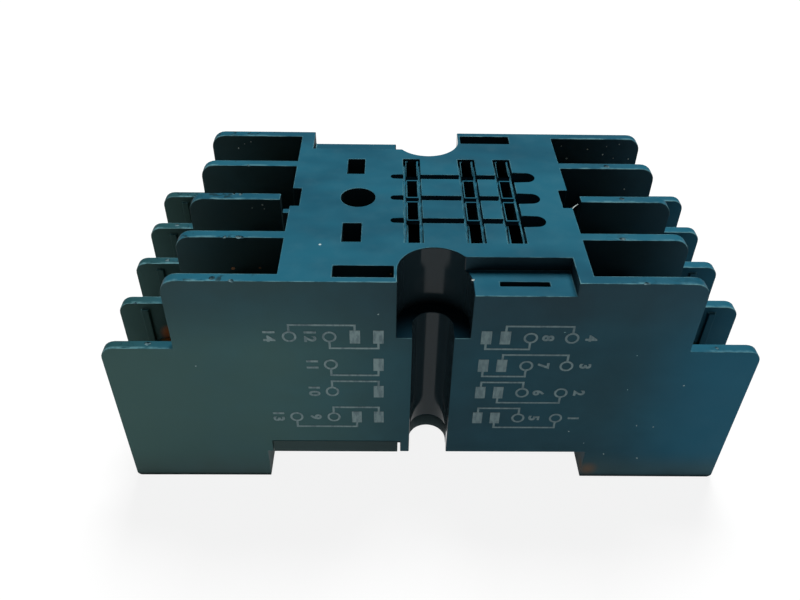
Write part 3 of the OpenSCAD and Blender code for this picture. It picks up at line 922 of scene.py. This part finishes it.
@dataclass
class MouldedHousing(SubAssembly):
    """The one-piece moulding with broken edges, a rubbed rim with a painted highlight, driver nicks and recesses
    in painted shade.
    """

    layout: Layout
    edge_radius: float = 0.09
    print_room: float = 0.02
    recess_half_width: float = 3.8
    recess_reach: float = 8.9
    skin: float = 0.1
    shortest_edge: float = 0.16
    flat_angle: float = 0.5
    sharp_angle: float = 32.0
    smooth_angle: float = 17.0
    blade: float = 0.45
    ragged: float = 0.04
    nicks: tuple[Nick, ...] = NICKS
    title = "moulding"

    def shell(self) -> Object:
        """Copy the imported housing, with its seams closed and its flat faces whole."""
        shell = only(linked("moulded_housing", frame["nodes"]["housing"].data.copy()))
        front = -(self.layout.half_width - 0.001) * MM
        with editing():
            bpy.ops.mesh.remove_doubles(threshold=SEAM)
            bpy.ops.mesh.dissolve_limited(
                angle_limit=math.radians(self.flat_angle), use_dissolve_boundaries=False
            )
            # The outer skin of the front wall goes in by the ink's thickness
            pick(shell, lambda v: v.co.y < front)
            bpy.ops.transform.translate(value=(0, self.print_room * MM, 0))
        shell.data.materials.clear()
        return shell

    def cutter(self, nick: Nick) -> Object:
        """Shape the solid that cuts one nick.

        Args:
            nick: The nick.

        Returns:
            A lump like a blunt blade, standing in the fin's top.
        """
        reach, top = self.layout.fin(nick.tier)
        x = nick.end.value * (reach - nick.inset)
        y = self.layout.fin_y(nick.fin) + nick.edge * self.layout.fin_thickness / 2
        bpy.ops.mesh.primitive_ico_sphere_add(
            subdivisions=2, radius=0.5 * MM, location=(x * MM, y * MM, top * MM)
        )
        lump = bpy.context.object
        lump.scale = (nick.length, self.blade + 0.5 * nick.depth, nick.depth)
        lump.rotation_euler = (0.0, 0.35 * math.sin(9 * x), 0.6 * math.sin(5 * x + nick.fin))
        set_shape()
        seed = int(abs(x) * 10) + nick.fin
        with editing():
            bpy.ops.transform.vertex_random(offset=self.ragged * MM, uniform=0.6, seed=seed)
        return lump

    def cut_nicks(self, shell: Object) -> None:
        """Cut all the nicks.

        Args:
            shell: The moulding.
        """
        lumps = joined(self.cutter(nick) for nick in self.nicks)
        for _ in range(TORN_SLOT + 1):
            lumps.data.materials.append(None)
        for face in lumps.data.polygons:
            face.material_index = TORN_SLOT
        cut = shell.modifiers.new("nicks", "BOOLEAN")
        cut.operation = "DIFFERENCE"
        cut.solver = "EXACT"
        cut.object = lumps
        apply_all(shell)
        bpy.data.objects.remove(lumps)

    def break_edges(self, shell: Object) -> None:
        """Round every sharp edge a little, and give the rounding the rubbed finish with its painted highlight.

        Args:
            shell: The moulding.
        """
        limit = math.radians(self.sharp_angle)
        shortest = self.shortest_edge * MM

        def sharp(edge: Any) -> bool:
            """Tell whether an edge is rounded.

            Args:
                edge: The edge.

            Returns:
                True if it is sharp, long enough and clear of the nicks.
            """
            faces = edge.link_faces
            if len(faces) != 2 or TORN_SLOT in [face.material_index for face in faces]:
                return False
            return edge.calc_length() > shortest and edge.calc_face_angle(0.0) > limit

        only(shell)
        with editing():
            count = pick(shell, sharp, "edges")
            bpy.ops.mesh.bevel(
                offset=self.edge_radius * MM, offset_type="OFFSET", segments=2, profile=0.5,
                affect="EDGES", clamp_overlap=False, material=RUBBED_HIGHLIT_SLOT, miter_outer="SHARP",
            )
        LOG.info("rounded %d edges", count)

    def paint_recess_shade(self, shell: Object) -> None:
        """Give the faces inside both mounting recesses the glossy finish whose dark colour is painted shade.

        Args:
            shell: The moulding.
        """
        wall = (self.layout.half_width - self.skin) * MM
        lid = (self.layout.height - self.skin) * MM
        # The dark colour of these faces is painted shade
        for face in shell.data.polygons:
            inside = abs(face.center.x) < self.recess_half_width * MM
            inside = inside and abs(face.center.y) > self.recess_reach * MM
            outer = abs(face.normal.y) > 0.9 and abs(face.center.y) > wall
            top = face.normal.z > 0.9 and face.center.z > lid
            if inside and not outer and not top:
                face.material_index = RECESS_SHADE_SLOT

    def build(self) -> list[Object]:
        """Build the visible moulding."""
        shell = self.shell()
        finishes = (
            MouldedThermoplastic("moulded_thermoplastic", marks=MARKS),
            RubbedHighlitEdge("rubbed_highlit_thermoplastic", marks=MARKS),
            BrokenPlastic("torn_thermoplastic"),
            painted_recess_shade(),
        )
        for finish in finishes:
            shell.data.materials.append(finish.material())
        self.cut_nicks(shell)
        self.break_edges(shell)
        self.paint_recess_shade(shell)
        only(shell)
        bpy.ops.object.shade_smooth_by_angle(angle=math.radians(self.smooth_angle))
        even = shell.modifiers.new("even_shading", "WEIGHTED_NORMAL")
        even.keep_sharp = True
        apply_all(shell)
        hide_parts("housing")
        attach(shell, "housing")
        return [shell]


@dataclass(frozen=True)
class Contact:
    """One contact of the wiring diagram, as it is printed beside its terminal numbers."""

    number: str
    ring_x: float
    number_x: float
    row_z: float
    bar_x: float
    lead: float


@dataclass
class WiringPrint(SubAssembly):
    """Generic wiring diagram on the front wall: bars, rings, leads and terminal numbers."""

    layout: Layout
    thickness: float = 0.02
    layer: float = 0.004
    merge: float = 0.002
    clear: float = 0.002
    line: float = 0.22
    ring_radius: float = 0.72
    bar_width: float = 1.05
    bar_height: float = 1.75
    digit_height: float = 1.12
    digit_weight: float = 0.06
    lead_reach: float = 1.55
    title = "print"

    def contacts(self) -> list[Contact]:
        """List the fourteen contacts of the diagram."""
        listed = [
            Contact("14", -14.4, -16.4, 22.1, -7.85, 1),
            Contact("12", -10.4, -12.3, 22.1, -5.5, -1),
            Contact("11", -10.4, -12.3, 18.25, -5.5, -1),
            Contact("10", -10.4, -12.3, 14.25, -5.5, 1),
            Contact("9", -10.4, -12.35, 10.25, -5.5, 1),
            Contact("13", -14.45, -16.4, 10.25, -7.9, -1),
        ]
        rows = (("8", "4", 22.1, -1), ("7", "3", 18.2, -1), ("6", "2", 14.2, 1), ("5", "1", 10.2, 1))
        for near, far, z, turn in rows:
            listed.append(Contact(near, 9.75, 11.5, z, 5.3, turn))
            listed.append(Contact(far, 13.9, 15.85, z, 7.2, -turn))
        return listed

    def patch(self, x: float, z: float, width: float, height: float, under: int = 0) -> Object:
        """Lay one rectangle of ink, drawn flat.

        Args:
            x: Its middle along the socket.
            z: Its middle in height.
            width: Its size along the socket.
            height: Its size in height.
            under: How many layers it lies under the topmost ink.

        Returns:
            The flat patch.
        """
        bpy.ops.mesh.primitive_plane_add(size=MM, location=(x * MM, z * MM, -under * self.layer * MM))
        patch = bpy.context.object
        patch.scale = (width, height, 1)
        set_shape()
        return patch

    def ring(self, x: float, z: float) -> Object:
        """Lay one ring of ink, for a terminal.

        Args:
            x: Its middle along the socket.
            z: Its middle in height.

        Returns:
            The flat ring.
        """
        bpy.ops.mesh.primitive_circle_add(
            vertices=32, radius=self.ring_radius * MM, fill_type="NGON", location=(x * MM, z * MM, 0)
        )
        ring = bpy.context.object
        with editing():
            bpy.ops.mesh.inset(thickness=self.line * MM)
            bpy.ops.mesh.delete(type="FACE")
        set_shape()
        return ring

    def numeral(self, text: str, x: float, z: float) -> Object:
        """Lay one terminal number, its top towards the right end.

        Args:
            text: The number.
            x: Its middle along the socket.
            z: Its middle in height.

        Returns:
            The flat number.
        """
        bpy.ops.object.text_add(location=(0, 0, 0))
        numeral = bpy.context.object
        numeral.data.body = text
        numeral.data.size = self.digit_height / 0.7 * MM
        numeral.data.space_character = 1.12
        numeral.data.offset = self.digit_weight * MM
        numeral.data.resolution_u = 3
        bpy.ops.object.convert(target="MESH")
        numeral = bpy.context.object
        corners = [v.co for v in numeral.data.vertices]
        low = Vector((min(c.x for c in corners), min(c.y for c in corners), 0))
        high = Vector((max(c.x for c in corners), max(c.y for c in corners), 0))
        turn = Matrix.Rotation(math.radians(-90), 4, "Z")
        numeral.data.transform(
            Matrix.Translation((x * MM, z * MM, 0)) @ turn @ Matrix.Translation(-(low + high) / 2)
        )
        return numeral

    def lead(self, contact: Contact) -> list[Object]:
        """Lay the lead from a contact's ring to its bar.

        Args:
            contact: The contact.

        Returns:
            Three thin patches.
        """
        rail = contact.row_z + contact.lead * self.lead_reach
        ring = contact.row_z + contact.lead * self.ring_radius * 0.9
        bar = contact.row_z + contact.lead * self.bar_height / 2
        middle = (contact.ring_x + contact.bar_x) / 2
        length = abs(contact.ring_x - contact.bar_x) + self.line
        return [
            self.patch(contact.ring_x, (ring + rail) / 2, self.line, abs(rail - ring), 2),
            self.patch(middle, rail, length, self.line, 1),
            self.patch(contact.bar_x, (bar + rail) / 2, self.line, abs(rail - bar), 2),
        ]

    def build(self) -> list[Object]:
        """Build the print as one thin layer on the front wall."""
        parts: list[Object] = []
        for contact in self.contacts():
            parts.append(self.ring(contact.ring_x, contact.row_z))
            parts.append(self.patch(contact.bar_x, contact.row_z, self.bar_width, self.bar_height))
            parts.append(self.numeral(contact.number, contact.number_x, contact.row_z))
            parts.extend(self.lead(contact))
        layer = only(joined(parts))
        bpy.ops.object.shade_flat()
        with editing():
            bpy.ops.mesh.remove_doubles(threshold=self.merge * MM)
            extrude((0, 0, (self.clear - self.thickness) * MM))
            face_outwards()
        wall = Matrix.Translation((0, -self.layout.half_width * MM, 0))
        layer.data.transform(wall @ Matrix.Rotation(math.pi / 2, 4, "X"))
        settle(layer, "wiring_print")
        layer.data.materials.clear()
        layer.data.materials.append(PadPrintedInk("pad_printed_ink").material())
        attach(layer, "housing")
        return [layer]


class Tone(Enum):
    """What a loose grain is."""

    PALE = "pale"
    ORANGE = "orange"
    GREY = "grey"


@dataclass(frozen=True)
class Grain:
    """One grain on a face, of dust or swarf, or an orange painted glint: its place, its width and what it is."""

    x: float
    y: float
    z: float
    size: float
    tone: Tone = Tone.PALE


@dataclass
class LooseGrains(SubAssembly):
    """Separate grains that catch the light on the walls, two of them orange painted glints of the screws, and
    one thin pale sliver.
    """

    layout: Layout
    flatness: float = 0.3
    deepest: float = 0.05
    sunk: float = 0.03
    whisker_radius: float = 0.07
    title = "dust"

    def grains(self) -> list[Grain]:
        """List the grains."""
        inner = self.layout.half_width - self.layout.fin_thickness
        front = -(self.layout.half_width - self.sunk)
        back_wall = [
            (17.5, 26.4, 0.34), (16.6, 28.1, 0.18), (19.9, 27.7, 0.20), (21.9, 27.0, 0.24),
            (23.3, 26.5, 0.20), (25.2, 26.4, 0.20), (23.7, 28.4, 0.18), (22.2, 28.1, 0.16),
            (-21.5, 28.3, 0.20), (-23.1, 27.4, 0.20), (-22.3, 28.0, 0.14),
        ]
        front_wall = [
            (-5.5, 25.1, 0.22), (-24.3, 17.9, 0.22), (26.8, 15.4, 0.26), (20.3, 4.1, 0.26),
            (24.3, 3.4, 0.30), (23.1, 9.0, 0.22), (25.0, 8.8, 0.22), (15.7, 8.0, 0.22),
            (17.7, 6.0, 0.18),
        ]
        between = {
            Tone.PALE: (
                (3.55, -13.9, 28.75, 0.34), (23.1, 6.5, 26.4, 0.22), (-18.25, -0.6, 28.4, 0.26),
                (-18.1, -0.6, 27.9, 0.18),
            ),
            # The grains at x -20.7 and -17.9 on fin 1's front face are painted glints of the screw heads
            Tone.ORANGE: (
                (3.6, -13.2, 28.2, 0.26), (-4.3, -12.25, 28.1, 0.30), (-20.7, -7.7, 25.15, 0.50),
                (-17.9, -7.7, 25.25, 0.34), (-19.5, 6.5, 24.2, 0.26),
            ),
            Tone.GREY: ((-19.4, -0.6, 28.0, 0.18),),
        }
        listed = [Grain(x, inner, z, size) for x, z, size in back_wall]
        listed += [Grain(x, front, z, size, Tone.GREY) for x, z, size in front_wall]
        for tone, rows in between.items():
            listed += [Grain(*row, tone) for row in rows]
        return listed

    def grain(self, grain: Grain) -> Object:
        """Shape one grain, flat against its wall.

        Args:
            grain: Its place and size.

        Returns:
            The lump.
        """
        place = (grain.x * MM, grain.y * MM, grain.z * MM)
        bpy.ops.mesh.primitive_ico_sphere_add(subdivisions=1, radius=grain.size / 2 * MM, location=place)
        lump = bpy.context.object
        deep = min(self.flatness, self.deepest / grain.size)
        lump.scale = (1.0, deep, 0.75)
        lump.rotation_euler = (0.0, 7 * grain.x, 0.0)
        set_shape()
        return lump

    def whisker(self) -> Object:
        """Shape a thin pale sliver between the block's end and the middle fin."""
        places = ((15.1, -1.75, 28.95), (15.5, -1.25, 28.98), (15.95, -0.72, 28.9))
        points = [Vector(place) for place in places]
        bpy.ops.mesh.primitive_circle_add(
            vertices=6, radius=self.whisker_radius * MM, fill_type="NGON", location=points[0] * MM
        )
        sliver = bpy.context.object
        sliver.rotation_euler = (points[1] - points[0]).to_track_quat("Z", "Y").to_euler()
        set_shape()
        with editing():
            for start, stop in zip(points, points[1:]):
                extrude((stop - start) * MM)
            bpy.ops.transform.resize(value=(0.4, 0.4, 0.4))
            face_outwards()
        return sliver

    def build(self) -> list[Object]:
        """Build the grains, one piece for each tone."""
        # The orange tone also paints glints of the screws
        colours = {Tone.PALE: "#C9D6D3", Tone.ORANGE: "#D98A4A", Tone.GREY: "#8FA3A4"}
        pieces = []
        for tone, colour in colours.items():
            parts = [self.grain(grain) for grain in self.grains() if grain.tone is tone]
            if tone is Tone.PALE:
                parts.append(self.whisker())
            piece = settle(joined(parts), f"{tone.value}_grains")
            piece.data.materials.append(GrainFinish(f"{tone.value}_grain_finish", colour).material())
            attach(piece, "housing")
            pieces.append(piece)
        return pieces


@dataclass
class Hardware(SubAssembly):
    """Contacts, clamp washers, terminal screws, base cover and rail latch as packed.

    Their shapes are right as they are, so they keep their solids and get finishes and
    slightly broken edges.
    """

    edge_radius: float = 0.06
    sharp_angle: float = 40.0
    title = "hardware"

    def finishes(self) -> dict[str, Material]:
        """Build the finish for each kind of node, by the start of its name."""
        finishes: dict[str, MouldedThermoplastic | DulledMetal] = {
            "contact": DulledMetal("rolled_brass", "#B98F4E", "#5E4425", 2.0, 0.75, 0.36),
            "clamp_washer": DulledMetal("passivated_washer_steel", "#C4A968", "#6B4F2C", 1.4, 0.6, 0.32),
            "terminal_screw": DulledMetal("passivated_screw_steel", "#CBB070", "#7A4E28", 1.2, 0.7, 0.30),
            # The cover's steep faces get their own painted light and shade colours
            "base_cover": MouldedThermoplastic(
                "moulded_cover",
                body="#18414E", shade="#153742", painted_wall_left="#34413F", painted_wall_middle="#262F2F",
            ),
            "rail_latch": MouldedThermoplastic(
                "moulded_latch", body="#175868", shade="#11454F", roughness=0.38
            ),
        }
        return {kind: finish.material() for kind, finish in finishes.items()}

    def build(self) -> list[Object]:
        """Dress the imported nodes."""
        finishes = self.finishes()
        dressed = []
        for name, node in sorted(frame["nodes"].items()):
            kind = next((k for k in finishes if name.startswith(k)), None)
            if kind is None:
                continue
            node.data.materials.clear()
            node.data.materials.append(finishes[kind])
            seams = node.modifiers.new("closed_seams", "WELD")
            seams.merge_threshold = SEAM
            edges = node.modifiers.new("broken_edges", "BEVEL")
            edges.width = self.edge_radius * MM
            edges.segments = 2
            edges.limit_method = "ANGLE"
            edges.angle_limit = math.radians(self.sharp_angle)
            edges.harden_normals = True
            dressed.append(node)
        return dressed


@dataclass
class Studio:
    """Plain pale floor, soft neutral light and the camera."""

    floor_size: float = 6.0
    floor_colour: str = "#E9EAE9"
    floor_glow: float = 0.80
    floor_white: float = 1.1
    sky: float = 0.045
    seen_sky: float = 1.0
    key_place: Triple = (0.07, 0.33, 0.64)
    key_aim: Triple = (0.0, 0.0, 0.015)
    key_size: Pair = (0.3, 0.3)
    key_power: float = 5.9
    bounce_place: Triple = (0.0, -0.1551, 0.0002)
    bounce_size: Pair = (0.5, 0.28)
    bounce_power: float = 0.42
    lens: float = 35.25
    sensor: float = 36.0
    clip: float = 0.005
    camera_place: Triple = (-4.423, -72.447, 75.027)
    camera_turn: Triple = (50.175, -0.795, -0.342)

    def send(self, tree: NodeTree, output: str, share: NodeSocket, first: Node, second: Node) -> None:
        """Blend two shaders and send the blend to the tree's output.

        Args:
            tree: The tree to add to.
            output: The output node's type.
            share: How much of the second shader shows.
            first: A shader.
            second: Another shader.
        """
        links = {0: share, 1: first.outputs[0], 2: second.outputs[0]}
        mix = add_node(tree, "ShaderNodeMixShader", links=links)
        add_node(tree, output, links={"Surface": mix.outputs[0]})

    def floor(self) -> Object:
        """Lay the floor: a pale matt sheet that looks white and keeps the shadow."""
        bpy.ops.mesh.primitive_plane_add(size=self.floor_size, location=(0, 0, 0))
        floor = bpy.context.object
        floor.name = "floor"
        material, tree = blank_material("pale_sheet")
        sheet = add_node(tree, "ShaderNodeBsdfDiffuse", {"Color": linear(self.floor_colour)})
        white = add_node(tree, "ShaderNodeEmission", {"Color": WHITE, "Strength": self.floor_white})
        # Camera, mirror and glass rays see the white, and the rays that light the object don't
        path = add_node(tree, "ShaderNodeLightPath").outputs
        seen = calc(tree, "MAXIMUM", path["Is Camera Ray"], path["Is Glossy Ray"])
        seen = calc(tree, "MAXIMUM", seen, path["Is Transmission Ray"])
        share = calc(tree, "MULTIPLY", seen, self.floor_glow)
        self.send(tree, "ShaderNodeOutputMaterial", share, sheet, white)
        floor.data.materials.append(material)
        floor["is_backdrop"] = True
        return floor

    def world(self) -> None:
        """Light the room evenly, with a white backdrop for what is seen directly."""
        world = bpy.data.worlds.new("studio")
        world.use_nodes = True
        tree = world.node_tree
        tree.nodes.clear()
        soft = add_node(tree, "ShaderNodeBackground", {"Color": WHITE, "Strength": self.sky})
        white = add_node(tree, "ShaderNodeBackground", {"Color": WHITE, "Strength": self.seen_sky})
        path = add_node(tree, "ShaderNodeLightPath").outputs
        self.send(tree, "ShaderNodeOutputWorld", path["Is Camera Ray"], soft, white)
        bpy.context.scene.world = world

    def lamp(self, name: str, place: Vector, aim: Vector, size: Pair, power: float) -> Object:
        """Hang one soft lamp.

        Args:
            name: The lamp's name.
            place: Where it hangs, in metres.
            aim: The direction in which it shines.
            size: Its width and height in metres.
            power: Its power in watts.

        Returns:
            The lamp.
        """
        data = bpy.data.lights.new(name, "AREA")
        data.shape = "RECTANGLE"
        data.size, data.size_y = size
        data.energy = power
        lamp = linked(name, data)
        lamp.location = place
        lamp.rotation_euler = aim.to_track_quat("-Z", "Y").to_euler()
        return lamp

    def camera(self) -> None:
        """Set the camera."""
        data = bpy.data.cameras.new("camera")
        data.lens = self.lens
        data.sensor_width = self.sensor
        data.clip_start = self.clip
        camera = linked("camera", data)
        camera.location = Vector(self.camera_place) * MM
        camera.rotation_euler = [math.radians(a) for a in self.camera_turn]
        bpy.context.scene.camera = camera

    def build(self) -> None:
        """Build the studio."""
        self.camera()
        self.floor()
        self.world()
        key, up = Vector(self.key_place), Vector((0, 0, 1))
        self.lamp("key_lamp", key, Vector(self.key_aim) - key, self.key_size, self.key_power)
        # A panel just over the floor stands for the bright sheet's bounce onto the front wall
        place = Vector(self.bounce_place)
        bounce = self.lamp("bounce_panel", place, up, self.bounce_size, self.bounce_power)
        bounce.visible_camera = False
        bounce.visible_glossy = False
        bpy.context.scene.view_settings.view_transform = "Standard"
        LOG.info("studio: floor, key lamp, bounce panel and camera")


def write_sizes() -> None:
    """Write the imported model's box and the dressed part's box, in metres."""
    boxes = {"cad": [list(corner) for corner in CAD_BOX], "visual": [list(corner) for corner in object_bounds()]}
    for name, box in boxes.items():
        low, high = ([round(v / MM, 3) for v in corner] for corner in box)
        LOG.info("%s box in mm: %s to %s", name, low, high)


def main() -> None:
    """Build the dressed socket and its studio."""
    logging.basicConfig(level=logging.INFO, format="%(name)s: %(message)s")
    layout = Layout.of_frame()
    Studio().build()
    for group in (MouldedHousing(layout), WiringPrint(layout), LooseGrains(layout), Hardware()):
        group.make()
    write_sizes()


if __name__ == "__main__":
    main()
